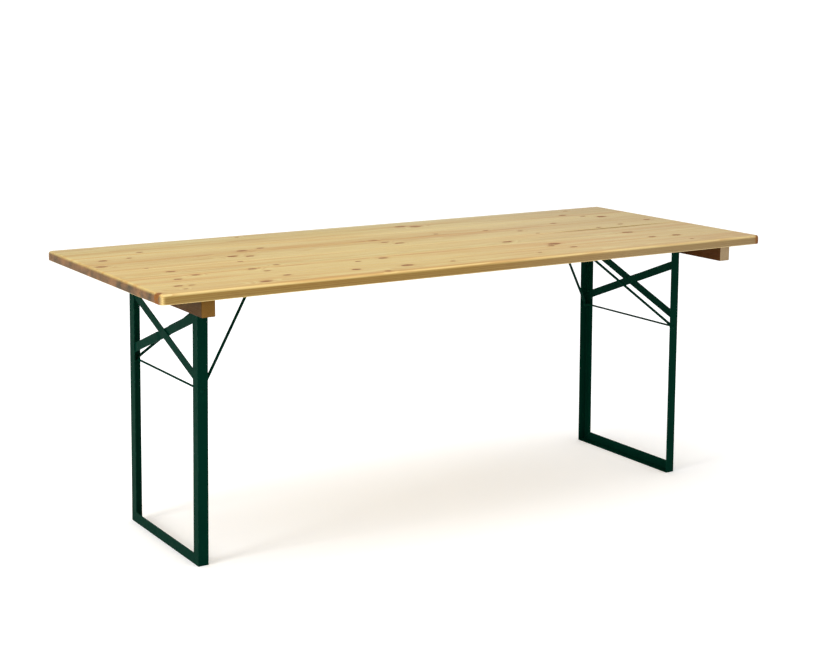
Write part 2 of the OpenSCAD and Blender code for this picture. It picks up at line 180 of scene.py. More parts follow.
def pine(name, heart, tones, end_tones, seed, knots, ring=3.6, satin=0.42, contrast=0.5,
         grain="X", edge_light_and_shade=0.9, shine=0.3):
    """Planed softwood, cut from a log whose heart runs along the grain through a point across it
    and in Z, in metres. The rings cross every face where they do in real wood and bend round the
    knots, so the flat faces show long arches and the ends show curved bands, under a satin
    varnish. tones are two colours and the places across the board where they lie, knots are
    places and radii in mm, and ring is the yearly growth in mm."""
    material, tree = new_material(name)
    coords = add(tree, "ShaderNodeTexCoord")
    place = coords["Object"]
    along = add(tree, "ShaderNodeSeparateXYZ", {0: place})
    if grain == "Y":
        place = add(tree, "ShaderNodeCombineXYZ", {0: along["Y"], 1: along["X"], 2: along["Z"]})[0]
        along = add(tree, "ShaderNodeSeparateXYZ", {0: place})

    # Distance from the nearest knot, in knot radii, with the long side along the grain
    flatten = 0.62
    reach = None
    for x, y, radius in knots:
        scale = Vector((flatten, 1, 0)) / (radius * MM)
        centre = Vector((-x * MM * scale.x, -y * MM * scale.y, 0))
        away = add(tree, "ShaderNodeVectorMath", {0: place, 1: scale, 2: centre},
                   operation="MULTIPLY_ADD")
        away = add(tree, "ShaderNodeVectorMath", {0: away[0]}, operation="LENGTH")["Value"]
        if reach is not None:
            away = add(tree, "ShaderNodeMath", {0: reach, 1: away, 2: 0.6},
                       operation="SMOOTH_MIN")[0]
        reach = away
    rag = 0.7
    ragged = add(tree, "ShaderNodeTexNoise", {"Vector": place, "Scale": cells(9.09), "Detail": 2.0})
    reach = add(tree, "ShaderNodeMath", {0: ragged[0], 1: rag, 2: reach},
                operation="MULTIPLY_ADD")[0]
    reach = add(tree, "ShaderNodeMath", {0: reach, 1: rag / 2}, operation="SUBTRACT")[0]

    # The heart wanders along the board, so the rings close into long arches on the flat faces
    slow = add(tree, "ShaderNodeVectorMath", {0: place, 1: cells(667, 167, 167)},
               operation="MULTIPLY")[0]
    wander = add(tree, "ShaderNodeTexNoise",
                 {"Vector": slow, "W": seed * 3.7, "Scale": 1.0, "Detail": 3.0,
                  "Roughness": 0.45}, noise_dimensions="4D")["Color"]
    swing = 34 * MM
    offset = Vector((0, -heart[0] - swing / 2, -heart[1] - swing / 2))
    wander = add(tree, "ShaderNodeVectorMath", {0: wander, 1: (0, swing, swing), 2: offset},
                 operation="MULTIPLY_ADD")[0]
    across = add(tree, "ShaderNodeVectorMath", {0: place, 1: (0, 1, 1), 2: wander},
                 operation="MULTIPLY_ADD")[0]
    depth = add(tree, "ShaderNodeVectorMath", {0: across}, operation="LENGTH")["Value"]
    ring_push = 5.5 * MM
    lift = add(tree, "ShaderNodeMapRange",
               {"Value": reach, "From Min": 0.7, "From Max": 3.4, "To Min": ring_push, "To Max": 0},
               interpolation_type="SMOOTHSTEP")[0]
    depth = add(tree, "ShaderNodeMath", {0: depth, 1: lift}, operation="ADD")[0]

    # Yearly rings: pale early wood darkens slowly into late wood, then stops short
    years = add(tree, "ShaderNodeTexNoise", {"W": depth, "Scale": cells(11.11), "Detail": 1.0},
                noise_dimensions="1D")[0]
    phase = add(tree, "ShaderNodeMath", {0: depth, 1: cells(ring), 2: years},
                operation="MULTIPLY_ADD")[0]
    phase = add(tree, "ShaderNodeMath", {0: phase}, operation="FRACT")[0]
    rise = add(tree, "ShaderNodeMapRange", {"Value": phase, "From Min": 0.25, "From Max": 0.88},
               interpolation_type="SMOOTHSTEP")[0]
    fall = add(tree, "ShaderNodeMapRange",
               {"Value": phase, "From Min": 0.9, "From Max": 1.0, "To Min": 1, "To Max": 0},
               interpolation_type="SMOOTHSTEP")[0]
    late = add(tree, "ShaderNodeMath", {0: rise, 1: fall}, operation="MULTIPLY")[0]

    # Fibres, drawn 3 mm wide and coarser than real ones so that they show from across a room
    fibre_at = add(tree, "ShaderNodeVectorMath", {0: place, 1: cells(143, 3.03, 3.03)},
                   operation="MULTIPLY")[0]
    fibres = add(tree, "ShaderNodeTexNoise", {"Vector": fibre_at, "Scale": 1.0, "Detail": 3.0,
                                              "Roughness": 0.6})[0]
    drift_at = add(tree, "ShaderNodeVectorMath",
                   {0: place, 1: cells(909, 38.46, 38.46), 2: (seed, 0, seed)},
                   operation="MULTIPLY_ADD")[0]
    drift = add(tree, "ShaderNodeTexNoise", {"Vector": drift_at, "Scale": 1.0, "Detail": 2.0})[0]

    # Colour: two tones, from one side of the piece to the other
    first_tone, last_tone, first_at, last_at = tones
    tone_at = add(tree, "ShaderNodeMath", {0: drift, 1: 50 * MM, 2: along["Y"]},
                  operation="MULTIPLY_ADD")[0]
    tone_mix = add(tree, "ShaderNodeMapRange",
                   {"Value": tone_at, "From Min": first_at + 10 * MM, "From Max": last_at + 35 * MM},
                   interpolation_type="SMOOTHSTEP")[0]
    colour = add(tree, "ShaderNodeMix", {0: tone_mix, 6: srgb(first_tone), 7: srgb(last_tone)},
                 data_type="RGBA")[2]

    # The routed long edges carry a painted highlight in a paler gold, and the faces that face front or
    # back, with the joint walls, carry painted shade
    normal = add(tree, "ShaderNodeSeparateXYZ", {0: coords["Normal"]})
    side_on = add(tree, "ShaderNodeMath", {0: normal["Y" if grain == "X" else "X"]},
                  operation="ABSOLUTE")[0]
    # Painted highlight: the rounded arris turns a paler gold
    arris = add(tree, "ShaderNodeMapRange",
                {"Value": side_on, "From Min": 0.12, "From Max": 0.5, "To Max": 0.8 * edge_light_and_shade})[0]
    colour = add(tree, "ShaderNodeMix", {0: arris, 6: colour, 7: srgb("#dcc584")},
                 data_type="RGBA")[2]
    # Painted shade: faces that face front or back, the edges and the joint walls, are darkened
    side_on = add(tree, "ShaderNodeMapRange",
                  {"Value": side_on, "From Min": 0.8, "From Max": 0.98, "To Max": edge_light_and_shade})[0]
    colour = add(tree, "ShaderNodeMix", {0: side_on, 6: colour, 7: srgb("#a39058")},
                 data_type="RGBA", blend_type="MULTIPLY")[2]

    # Late wood and fibres are browner, some streaks warmer, and the colour greyer, then darker,
    # towards the right-hand end
    late_share = add(tree, "ShaderNodeMath", {0: late, 1: contrast}, operation="MULTIPLY")[0]
    colour = add(tree, "ShaderNodeMix", {0: late_share, 6: colour, 7: srgb("#dbb57a")},
                 data_type="RGBA", blend_type="MULTIPLY")[2]
    fibre_share = add(tree, "ShaderNodeMapRange",
                      {"Value": fibres, "From Min": 0.5, "From Max": 0.72, "To Max": 0.5})[0]
    colour = add(tree, "ShaderNodeMix", {0: fibre_share, 6: colour, 7: srgb("#d9bc8c")},
                 data_type="RGBA", blend_type="MULTIPLY")[2]
    warm = add(tree, "ShaderNodeMapRange",
               {"Value": drift, "From Min": 0.46, "From Max": 0.68, "To Max": 0.9})[0]
    plain_face = add(tree, "ShaderNodeMath", {0: 1.0, 1: arris}, operation="SUBTRACT")[0]
    warm = add(tree, "ShaderNodeMath", {0: warm, 1: plain_face}, operation="MULTIPLY")[0]
    colour = add(tree, "ShaderNodeMix", {0: warm, 6: colour, 7: srgb("#f2d6ae")},
                 data_type="RGBA", blend_type="MULTIPLY")[2]
    greyer_rightwards = add(tree, "ShaderNodeMapRange",
                   {"Value": along["X"], "From Min": -0.1, "From Max": 0.5, "To Max": 0.11})[0]
    colour = add(tree, "ShaderNodeMix", {0: greyer_rightwards, 6: colour, 7: srgb("#c0bbac")},
                 data_type="RGBA")[2]
    darker_rightwards = add(tree, "ShaderNodeMapRange",
                 {"Value": along["X"], "From Min": 0.35, "From Max": 1.0, "To Max": 0.6})[0]
    colour = add(tree, "ShaderNodeMix", {0: darker_rightwards, 6: colour, 7: srgb("#e6e0da")},
                 data_type="RGBA", blend_type="MULTIPLY")[2]

    # End grain drinks the varnish and turns brown, in patches
    facing = add(tree, "ShaderNodeMath", {0: normal[grain]}, operation="ABSOLUTE")[0]
    end = add(tree, "ShaderNodeMapRange", {"Value": facing, "From Min": 0.6, "From Max": 0.97})[0]
    patch = add(tree, "ShaderNodeTexNoise", {"Vector": place, "Scale": cells(58.8),
                                             "Detail": 3.0, "W": seed}, noise_dimensions="4D")[0]
    patch = add(tree, "ShaderNodeMapRange", {"Value": patch, "From Min": 0.38, "From Max": 0.62})[0]
    end_colour = add(tree, "ShaderNodeMix",
                     {0: patch, 6: srgb(end_tones[0]), 7: srgb(end_tones[1])},
                     data_type="RGBA")[2]
    end_rings = add(tree, "ShaderNodeMath", {0: late, 1: 0.5}, operation="MULTIPLY")[0]
    end_colour = add(tree, "ShaderNodeMix", {0: end_rings, 6: end_colour, 7: srgb("#c49a70")},
                     data_type="RGBA", blend_type="MULTIPLY")[2]
    colour = add(tree, "ShaderNodeMix", {0: end, 6: colour, 7: end_colour},
                 data_type="RGBA")[2]

    # Knots: a golden brown halo, then a ringed brown core, paler in some knots than in others
    halo = add(tree, "ShaderNodeMapRange",
               {"Value": reach, "From Min": 0.7, "From Max": 2.0, "To Min": 0.35, "To Max": 0},
               interpolation_type="SMOOTHSTEP")[0]
    colour = add(tree, "ShaderNodeMix", {0: halo, 6: colour, 7: srgb("#dcb270")},
                 data_type="RGBA", blend_type="MULTIPLY")[2]
    knot_rings = add(tree, "ShaderNodeMath", {0: reach, 1: 13.0}, operation="MULTIPLY")[0]
    knot_rings = add(tree, "ShaderNodeMath", {0: knot_rings}, operation="SINE")[0]
    knot_rings = add(tree, "ShaderNodeMapRange",
                     {"Value": knot_rings, "From Min": -1, "From Max": 1, "To Max": 0.6})[0]
    core_colour = add(tree, "ShaderNodeMix",
                      {0: knot_rings, 6: srgb("#85500c"), 7: srgb("#4a2703")},
                      data_type="RGBA")[2]
    age = add(tree, "ShaderNodeTexNoise", {"Vector": place, "Scale": cells(62.5), "Detail": 0.0})[0]
    core_top = add(tree, "ShaderNodeMapRange",
                   {"Value": age, "From Min": 0.35, "From Max": 0.6, "To Min": 0.8,
                    "To Max": 1.0})[0]
    core = add(tree, "ShaderNodeMapRange",
               {"Value": reach, "From Min": 0.85, "From Max": 1.0, "To Min": 1, "To Max": 0},
               interpolation_type="SMOOTHSTEP")[0]
    core = add(tree, "ShaderNodeMath", {0: core, 1: core_top}, operation="MULTIPLY")[0]
    colour = add(tree, "ShaderNodeMix", {0: core, 6: colour, 7: core_colour},
                 data_type="RGBA")[2]

    # A satin coat, duller over the soft fibres, the open end grain and the knots
    rough = add(tree, "ShaderNodeMapRange",
                {"Value": fibres, "From Min": 0.3, "From Max": 0.7, "To Min": satin - 0.06,
                 "To Max": satin + 0.1})[0]
    rough = add(tree, "ShaderNodeMath", {0: end, 1: 0.25, 2: rough}, operation="MULTIPLY_ADD")[0]
    rough = add(tree, "ShaderNodeMath", {0: core, 1: 0.15, 2: rough}, operation="MULTIPLY_ADD")[0]
    relief = add(tree, "ShaderNodeMath", {0: late, 1: 0.6, 2: fibres}, operation="MULTIPLY_ADD")[0]
    bump = add(tree, "ShaderNodeBump", {"Height": relief, "Strength": 0.35, "Distance": 0.3 * MM})
    shader = add(tree, "ShaderNodeBsdfPrincipled",
                 {"Base Color": colour, "Roughness": rough, "Normal": bump[0],
                  "Specular IOR Level": shine})
    add(tree, "ShaderNodeOutputMaterial", {"Surface": shader["BSDF"]})
    return material


def arc(y, z, radius, start, steps=4):
    """Quarter circle in Y and Z round a centre, from a start angle in degrees."""
    angles = [math.radians(start + 90 * k / steps) for k in range(steps + 1)]
    return [(y + radius * math.cos(a), z + radius * math.sin(a)) for a in angles]


def board_section(y0, y1, z0, z1, front, rear, grooved, tongued):
    """Outline of a board across the grain, counter-clockwise. front and rear are the radii of
    the lower and the upper arris there."""
    tongue, slack, bevel = 6 * MM, 0.4 * MM, 1 * MM
    middle = z0 + 0.45 * (z1 - z0)
    low, high = middle - tongue / 2, middle + tongue / 2
    spread = 8
    span = y1 - y0 - front[1] - rear[1]
    ys = [y0 + front[1] + span * k / spread for k in range(1, spread)]
    points = arc(y0 + front[0], z0 + front[0], front[0], 180)
    points += [(y, z0) for y in ys]
    points += arc(y1 - rear[0], z0 + rear[0], rear[0], 270)
    if tongued:
        tip = y1 + tongue
        points += [(y1, low), (tip - bevel, low), (tip, low + bevel)]
        points += [(tip, high - bevel), (tip - bevel, high), (y1, high)]
    points += arc(y1 - rear[1], z1 - rear[1], rear[1], 0)
    points += [(y, z1) for y in reversed(ys)]
    points += arc(y0 + front[1], z1 - front[1], front[1], 90)
    if grooved:
        base = y0 + tongue + slack
        points += [(y0, high + slack / 2), (base, high + slack / 2)]
        points += [(base, low - slack / 2), (y0, low - slack / 2)]
    return points


def finish_mesh(name, shape, material, crease=35):
    """Makes an object of a bmesh, smooth except where faces meet at more than the crease angle."""
    bmesh.ops.recalc_face_normals(shape, faces=shape.faces)
    for face in shape.faces:
        face.smooth = True
    for edge in shape.edges:
        if len(edge.link_faces) == 2 and edge.calc_face_angle() > math.radians(crease):
            edge.smooth = False
    mesh = bpy.data.meshes.new(name)
    shape.to_mesh(mesh)
    shape.free()
    mesh.materials.append(material)
    made = bpy.data.objects.new(name, mesh)
    scene.collection.objects.link(made)
    return made


outer_arrises = (4 * MM, 10 * MM)
seam_arrises = (0.5 * MM, 0.9 * MM)
corner = 18 * MM
tongue_reach = 6 * MM
# The third joint from the front has opened up towards the right-hand end, from this place on,
# by this much on each side, and the board before it has cupped there
open_from = 420 * MM
open_by = 0.9 * MM
cup_depth = 1.7 * MM
cup_width = 50 * MM
half_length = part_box("board_1")[1].x
# Stations along half a board: long plain steps, then the corner's curve and the end arris
plain = [k * (half_length - corner) / 12 for k in range(13)]
curved = [half_length - corner + corner * math.sin(math.radians(a)) for a in (9, 18, 27)]
rounded = [half_length - outer_arrises[1] * (1 - math.sin(math.radians(a)))
           for a in (12, 25, 38, 52, 66, 78, 90)]
half_stations = plain + curved + rounded
stations = [-x for x in reversed(half_stations[1:])] + half_stations
# Front tone, rear tone, heart in Y and Z below the top, and knots as X, Y and radius in mm
BOARDS = [
    ("#bba465", "#bda869", (-20, -58), [
        (-910, -305, 8), (-875, -310, 6), (-910, -350, 4), (-690, -355, 11), (-600, -300, 8),
        (-400, -315, 9), (-245, -325, 13), (-340, -378, 7), (-100, -330, 6), (200, -330, 5),
        (350, -295, 8), (765, -345, 5), (-1000, -374, 12), (994, -398, 10)]),
    ("#bda86a", "#beaa6b", (35, -44), [
        (-635, -170, 9), (-615, -215, 7), (-805, -180, 7), (-870, -215, 8), (-330, -205, 6),
        (-240, -190, 10), (335, -220, 15), (305, -245, 8), (775, -264, 11), (685, -255, 9)]),
    ("#b7a366", "#bfac6e", (-30, -70), [
        (-840, -100, 9), (-610, -45, 6), (-550, -140, 6), (235, -120, 11), (680, -145, 13)]),
    ("#beac70", "#b29a5c", (15, -50), [
        (-970, 60, 11), (-590, 45, 10), (-545, 25, 9), (-55, 20, 10), (-85, 55, 8),
        (405, 45, 6), (425, -20, 5), (925, 50, 9), (670, -15, 6), (780, 10, 7), (-875, -20, 4)]),
    ("#b1995c", "#bcaa6e", (-40, -48), [
        (-455, 140, 8), (-525, 120, 11), (-95, 100, 7), (140, 120, 6), (315, 105, 6),
        (600, 130, 8), (840, 180, 13), (-930, 150, 9), (-850, 160, 6)]),
    ("#bcaa6e", "#ac985c", (28, -60), [
        (130, 312, 13), (170, 290, 13), (745, 270, 9), (790, 216, 7), (-785, 240, 7)]),
    ("#af9e64", "#b5aa7c", (-10, -46), [(820, 350, 7), (-420, 362, 5)]),
]
for number, (front_tone, rear_tone, heart, knots) in enumerate(BOARDS, 1):
    node = f"board_{number}"
    low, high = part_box(node)
    first, last = number == 1, number == len(BOARDS)
    y0, y1 = low.y, high.y if last else high.y - tongue_reach
    front = outer_arrises if first else seam_arrises
    rear = outer_arrises if last else seam_arrises
    outline = board_section(y0, y1, low.z, high.z, front, rear, not first, not last)
    middle_z = (low.z + high.z) / 2
    shape = bmesh.new()
    rings = []
    for x in stations:
        past_corner = max(0, abs(x) - (half_length - corner))
        inset = corner - math.sqrt(max(0, corner ** 2 - past_corner ** 2))
        past_open = max(0, (x - open_from) / (half_length - open_from))
        opening = math.sin(math.pi * past_open)
        opened = open_by * opening
        new_y0 = y0 + (inset if first else opened if number == 4 else 0)
        new_y1 = y1 - (inset if last else opened if number == 3 else 0)
        stretch = (new_y1 - new_y0) / (y1 - y0)
        drops = []
        for arris in outer_arrises:
            past_end = max(0, abs(x) - (half_length - arris))
            drops.append(arris - math.sqrt(max(0, arris ** 2 - past_end ** 2)))
        ring = []
        for y, z in outline:
            y = new_y0 + (y - y0) * stretch
            z = min(z, high.z - drops[1]) if z > middle_z else max(z, low.z + drops[0])
            if number == 3 and z > middle_z:
                z -= cup_depth * opening * max(0, 1 - (new_y1 - y) / cup_width)
            ring.append(shape.verts.new((x, y, z)))
        rings.append(ring)
    count = len(outline)
    for here, there in zip(rings, rings[1:]):
        for k in range(count):
            n = (k + 1) % count
            shape.faces.new((here[k], here[n], there[n], there[k]))
    shape.faces.new(list(reversed(rings[0])))
    shape.faces.new(rings[-1])
    heart_at = ((y0 + y1) / 2 + heart[0] * MM, high.z + heart[1] * MM)
    wood = pine(f"varnished_pine_{number}", heart_at, (front_tone, rear_tone, y0, y1),
                ("#463923", "#7e5b37"), seed=number, knots=knots)
    board = finish_mesh(f"pine_board_{number}", shape, wood)
    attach(board, "table_top")
    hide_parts(node)


# ---- Battens -----------------------------------------------------------------------------
# Two planed battens of pine across the boards' undersides, outside the leg frames, their faces
# darkened with painted shade. Their arrises are broken with a plane, and each screw sits at the
# bottom of a drilled recess.


def rounded_copy(node, name, material, edge, root=0.0):
    """A CAD node's shape with its edges rounded, and its inner corners filled if root is given."""
    shape = bmesh.new()
    shape.from_mesh(frame["nodes"][node].data)
    bmesh.ops.remove_doubles(shape, verts=shape.verts, dist=0.02 * MM)
    bmesh.ops.dissolve_limit(shape, angle_limit=math.radians(0.5), verts=shape.verts,
                             edges=shape.edges)
    bmesh.ops.recalc_face_normals(shape, faces=shape.faces)
    widest = max(edge, root)
    weights = shape.edges.layers.float.new("bevel_weight_edge")
    for border in shape.edges:
        if len(border.link_faces) != 2:
            continue
        bend = border.calc_face_angle_signed()
        if bend > math.radians(30):
            border[weights] = edge / widest
        elif bend < -math.radians(30):
            border[weights] = root / widest
    rough = finish_mesh(name + "_blank", shape, material, crease=60)
    rounding = rough.modifiers.new("rounding", "BEVEL")
    rounding.limit_method = "WEIGHT"
    rounding.width = widest
    rounding.segments = 3
    rounding.use_clamp_overlap = False
    even = rough.modifiers.new("even_shading", "WEIGHTED_NORMAL")
    even.keep_sharp = True
    bpy.context.view_layer.update()
    finished = rough.evaluated_get(bpy.context.evaluated_depsgraph_get())
    mesh = bpy.data.meshes.new_from_object(finished)
    # Where three edges meet at a slant the rounding overshoots, so it is held to the real size
    low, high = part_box(node)
    for vertex in mesh.vertices:
        vertex.co = [min(max(c, a), b) for c, a, b in zip(vertex.co, low, high)]
    made = bpy.data.objects.new(name, mesh)
    scene.collection.objects.link(made)
    bpy.data.objects.remove(rough)
    return made


# Tones and end tones, heart beside and below the middle in mm, and knots. The face tones are
# darkened with painted shade from the top's overhang, darkest on the right-hand batten, and the
# end tones are paler as painted light, palest on the right-hand batten.
BATTENS = {
    "left": (("#46310d", "#4f3911"), ("#6f5223", "#85612c"), (-30, -20),
             [(-250, -862, 9), (120, -873, 7)]),
    "right": (("#4a2c06", "#54340b"), ("#9c8766", "#aa9778"), (26, -34),
              [(-120, 862, 8), (210, 872, 10)]),
}
for side, (shaded_face_tones, end_tones, heart, knots) in BATTENS.items():
    node = f"batten_{side}"
    low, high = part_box(node)
    middle = (low + high) / 2
    heart_at = (middle.x + heart[0] * MM, middle.z + heart[1] * MM)
    # Faces in painted shade, ends in painted light
    wood = pine(f"oiled_pine_painted_shading_{side}", heart_at, (*shaded_face_tones, low.x, high.x), end_tones,
                seed=11.5, ring=2.8, knots=knots, satin=0.6, contrast=0.6, grain="Y",
                edge_light_and_shade=0.0, shine=0.1)
    batten = rounded_copy(node, f"pine_batten_{side}", wood, edge=1.5 * MM)
    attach(batten, "table_top")
    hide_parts(node)


# ---- Screws ------------------------------------------------------------------------------
# Zinc-plated wood screws with a cross recess: flat heads in the battens, and pan heads in the
# hinge brackets and the keepers. Each was driven home by hand, so no two are turned alike.


def zinc_plate():
    """Bright zinc on steel: a cool grey metal with small crystals and dull handling marks."""
    material, tree = new_material("zinc_plated_steel")
    place = add(tree, "ShaderNodeTexCoord")["Object"]
    crystals = add(tree, "ShaderNodeTexVoronoi", {"Vector": place, "Scale": cells(1.111)})["Color"]
    crystals = add(tree, "ShaderNodeSeparateXYZ", {0: crystals})["X"]
    marks = add(tree, "ShaderNodeTexNoise", {"Vector": place, "Scale": cells(7.69), "Detail": 4.0})[0]
    colour = add(tree, "ShaderNodeMix",
                 {0: marks, 6: srgb("#a9aeb2"), 7: srgb("#d3d5d2")}, data_type="RGBA")[2]
    rough = add(tree, "ShaderNodeMath", {0: crystals, 1: 0.1, 2: 0.26},
                operation="MULTIPLY_ADD")[0]
    rough = add(tree, "ShaderNodeMath", {0: marks, 1: 0.2, 2: rough}, operation="MULTIPLY_ADD")[0]
    bump = add(tree, "ShaderNodeBump", {"Height": marks, "Strength": 0.2, "Distance": 0.1 * MM})
    shader = add(tree, "ShaderNodeBsdfPrincipled",
                 {"Base Color": colour, "Metallic": 1.0, "Roughness": rough, "Normal": bump[0]})
    add(tree, "ShaderNodeOutputMaterial", {"Surface": shader["BSDF"]})
    return material


def screw_head(name, domed):
    """Head 1 wide and 1 high under its drive face, which looks down, with a cross recess."""
    spokes, slot_half, slot_end, slot_depth = 32, 0.075, 0.33, 0.75
    rim, flat_dish, dome_curve = 0.5, 0.02, 3.6
    neck, skirt = 0.27, 0.05
    radii = (0.06, 0.11, 0.16, 0.22, 0.28, 0.34, 0.4, 0.46, rim)
    shape = bmesh.new()
    rings = []
    for radius in radii:
        ring = []
        for k in range(spokes):
            angle = 2 * math.pi * (k + 0.5) / spokes
            x, y = radius * math.cos(angle), radius * math.sin(angle)
            z = -math.sqrt(1 - dome_curve * radius ** 2) if domed else -flat_dish * (rim - radius)
            if min(abs(x), abs(y)) < slot_half and radius < slot_end:
                z += slot_depth * (1 - radius / rim)
            ring.append(shape.verts.new((x, y, z)))
        rings.append(ring)
    top = skirt if domed else 1.0
    shrink = 1.0 if domed else neck / rim
    rings.append([shape.verts.new((shrink * v.co.x, shrink * v.co.y, top)) for v in rings[-1]])
    for inner, outer in zip(rings, rings[1:]):
        for k in range(spokes):
            n = (k + 1) % spokes
            shape.faces.new((inner[k], inner[n], outer[n], outer[k]))
    shape.faces.new(rings[0])
    shape.faces.new(rings[-1])
    return finish_mesh(name, shape, zinc)


def screw_tree():
    """Geometry nodes that put a head and a shank on every point, each turned by chance."""
    tree = bpy.data.node_groups.new("driven_screws", "GeometryNodeTree")
    tree.interface.new_socket("Geometry", in_out="INPUT", socket_type="NodeSocketGeometry")
    tree.interface.new_socket("Head", in_out="INPUT", socket_type="NodeSocketObject")
    for size in ("Head Diameter", "Head Height", "Shank Diameter", "Shank Length"):
        tree.interface.new_socket(size, in_out="INPUT", socket_type="NodeSocketFloat")
    tree.interface.new_socket("Seed", in_out="INPUT", socket_type="NodeSocketInt")
    tree.interface.new_socket("Metal", in_out="INPUT", socket_type="NodeSocketMaterial")
    tree.interface.new_socket("Geometry", in_out="OUTPUT", socket_type="NodeSocketGeometry")
    given = add(tree, "NodeGroupInput")
    head = add(tree, "GeometryNodeObjectInfo", {"Object": given["Head"]})["Geometry"]
    size = add(tree, "ShaderNodeCombineXYZ", {0: given["Head Diameter"],
                                              1: given["Head Diameter"],
                                              2: given["Head Height"]})[0]
    head = add(tree, "GeometryNodeTransform", {"Geometry": head, "Scale": size})[0]
    radius = add(tree, "ShaderNodeMath", {0: given["Shank Diameter"], 1: 0.5},
                 operation="MULTIPLY")[0]
    shank = add(tree, "GeometryNodeMeshCylinder",
                {"Vertices": 16, "Radius": radius, "Depth": given["Shank Length"]})["Mesh"]
    half = add(tree, "ShaderNodeMath", {0: given["Shank Length"], 1: 0.5},
               operation="MULTIPLY")[0]
    raised = add(tree, "ShaderNodeCombineXYZ", {2: half})[0]
    shank = add(tree, "GeometryNodeTransform", {"Geometry": shank, "Translation": raised})[0]
    join = tree.nodes.new("GeometryNodeJoinGeometry")
    tree.links.new(head, join.inputs[0])
    tree.links.new(shank, join.inputs[0])
    turn = add(tree, "FunctionNodeRandomValue",
               {"Min": (0, 0, 0), "Max": (0, 0, 2 * math.pi), "Seed": given["Seed"]},
               data_type="FLOAT_VECTOR")["Value"]
    screws = add(tree, "GeometryNodeInstanceOnPoints",
                 {"Points": given["Geometry"], "Instance": join.outputs[0], "Rotation": turn})
    solid = add(tree, "GeometryNodeRealizeInstances", {"Geometry": screws["Instances"]})[0]
    solid = add(tree, "GeometryNodeSetMaterial",
                {"Geometry": solid, "Material": given["Metal"]})[0]
    add(tree, "NodeGroupOutput", {"Geometry": solid})
    return tree


def from_nodes(name, base, tree, inputs):
    """The plain mesh that a node tree makes on a base object, as a new object."""
    sockets = {item.name: item.identifier for item in tree.interface.items_tree
               if item.in_out == "INPUT"}
    modifier = base.modifiers.new("nodes", "NODES")
    modifier.node_group = tree
    for key, value in inputs.items():
        modifier[sockets[key]] = value
    bpy.context.view_layer.update()
    evaluated = base.evaluated_get(bpy.context.evaluated_depsgraph_get())
    made = bpy.data.objects.new(name, bpy.data.meshes.new_from_object(evaluated))
    base.modifiers.remove(modifier)
    bpy.data.objects.remove(base)
    scene.collection.objects.link(made)
    return made


def points_object(points, edges=()):
    """Loose points, or points joined by edges, for a node tree to build on."""
    mesh = bpy.data.meshes.new("layout")
    mesh.from_pydata(points, edges, [])
    made = bpy.data.objects.new("layout", mesh)
    scene.collection.objects.link(made)
    return made


zinc = zinc_plate()
driven_screws = screw_tree()
flat_head = screw_head("flat_head", domed=False)
pan_head = screw_head("pan_head", domed=True)
under_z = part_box("board_1")[0].z

# Batten screws: two to a board, set out on a zigzag, and one to the narrow rear board
screw_stagger, screw_half_gap, recess = 6 * MM, 30 * MM, 6 * MM
batten_low, batten_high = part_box("batten_right")
batten_mid = (batten_low.x + batten_high.x) / 2
seams = [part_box(f"board_{n}")[0].y for n in range(1, 8)] + [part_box("board_7")[1].y]
batten_spots = []
for front, rear in zip(seams[:-2], seams[1:-1]):
    for way in (-1, 1):
        batten_spots.append((batten_mid + way * screw_stagger,
                             (front + rear) / 2 + way * screw_half_gap))
batten_spots.append((batten_mid, (seams[-2] + seams[-1]) / 2))

# Hinge screws: four to a bracket, at both sides of the hinge axis
bracket_t, hinge_screw_x, hinge_screw_ys = 3 * MM, 13 * MM, (186 * MM, 213 * MM)
hinge_at = Vector(next(j for j in frame["joints"] if j["name"] == "leg_right_fold")["pos_m"])
hinge_spots = [(hinge_at.x + way * hinge_screw_x, end * y)
               for end in (-1, 1) for way in (-1, 1) for y in hinge_screw_ys]

# Keeper screws: one near each corner of the plate
keeper_t, keeper_screw_y, hook_margin, rear_margin = 2.5 * MM, 18 * MM, 7 * MM, 8 * MM
keeper_low, keeper_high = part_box("keeper_right")
keeper_spots = [(x, way * keeper_screw_y) for way in (-1, 1)
                for x in (keeper_low.x + rear_margin, keeper_high.x - hook_margin)]

# Node, spots, height of the drive face or of the head's seat, head, and in mm the head's
# diameter and height and the shank's diameter and length
SCREWS = [
    ("batten_screws", batten_spots, batten_low.z + recess, flat_head, (9.5, 3, 5, 49)),
    ("hinge_screws", hinge_spots, under_z - bracket_t, pan_head, (8.5, 2.6, 4.5, 18)),
    ("keeper_screws", keeper_spots, under_z - keeper_t, pan_head, (8, 2.4, 4, 15)),
]
for seed, (node, spots, z, head, sizes) in enumerate(SCREWS):
    layout = points_object([(way * x, y, z) for way in (-1, 1) for x, y in spots])
    wide, high, shank, length = (size * MM for size in sizes)
    screws = from_nodes(f"cross_{node}", layout, driven_screws, {
        "Head": head, "Head Diameter": wide, "Head Height": high,
        "Shank Diameter": shank, "Shank Length": length, "Seed": seed, "Metal": zinc})
    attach(screws, "table_top")
    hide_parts(node)
bpy.data.objects.remove(flat_head)
bpy.data.objects.remove(pan_head)


# ---- Leg frames --------------------------------------------------------------------------
# Each frame is rolled steel angle, mitred and welded at the feet, with two flat bars welded
# across behind the end flanges. The whole frame is then coated with dark green powder.


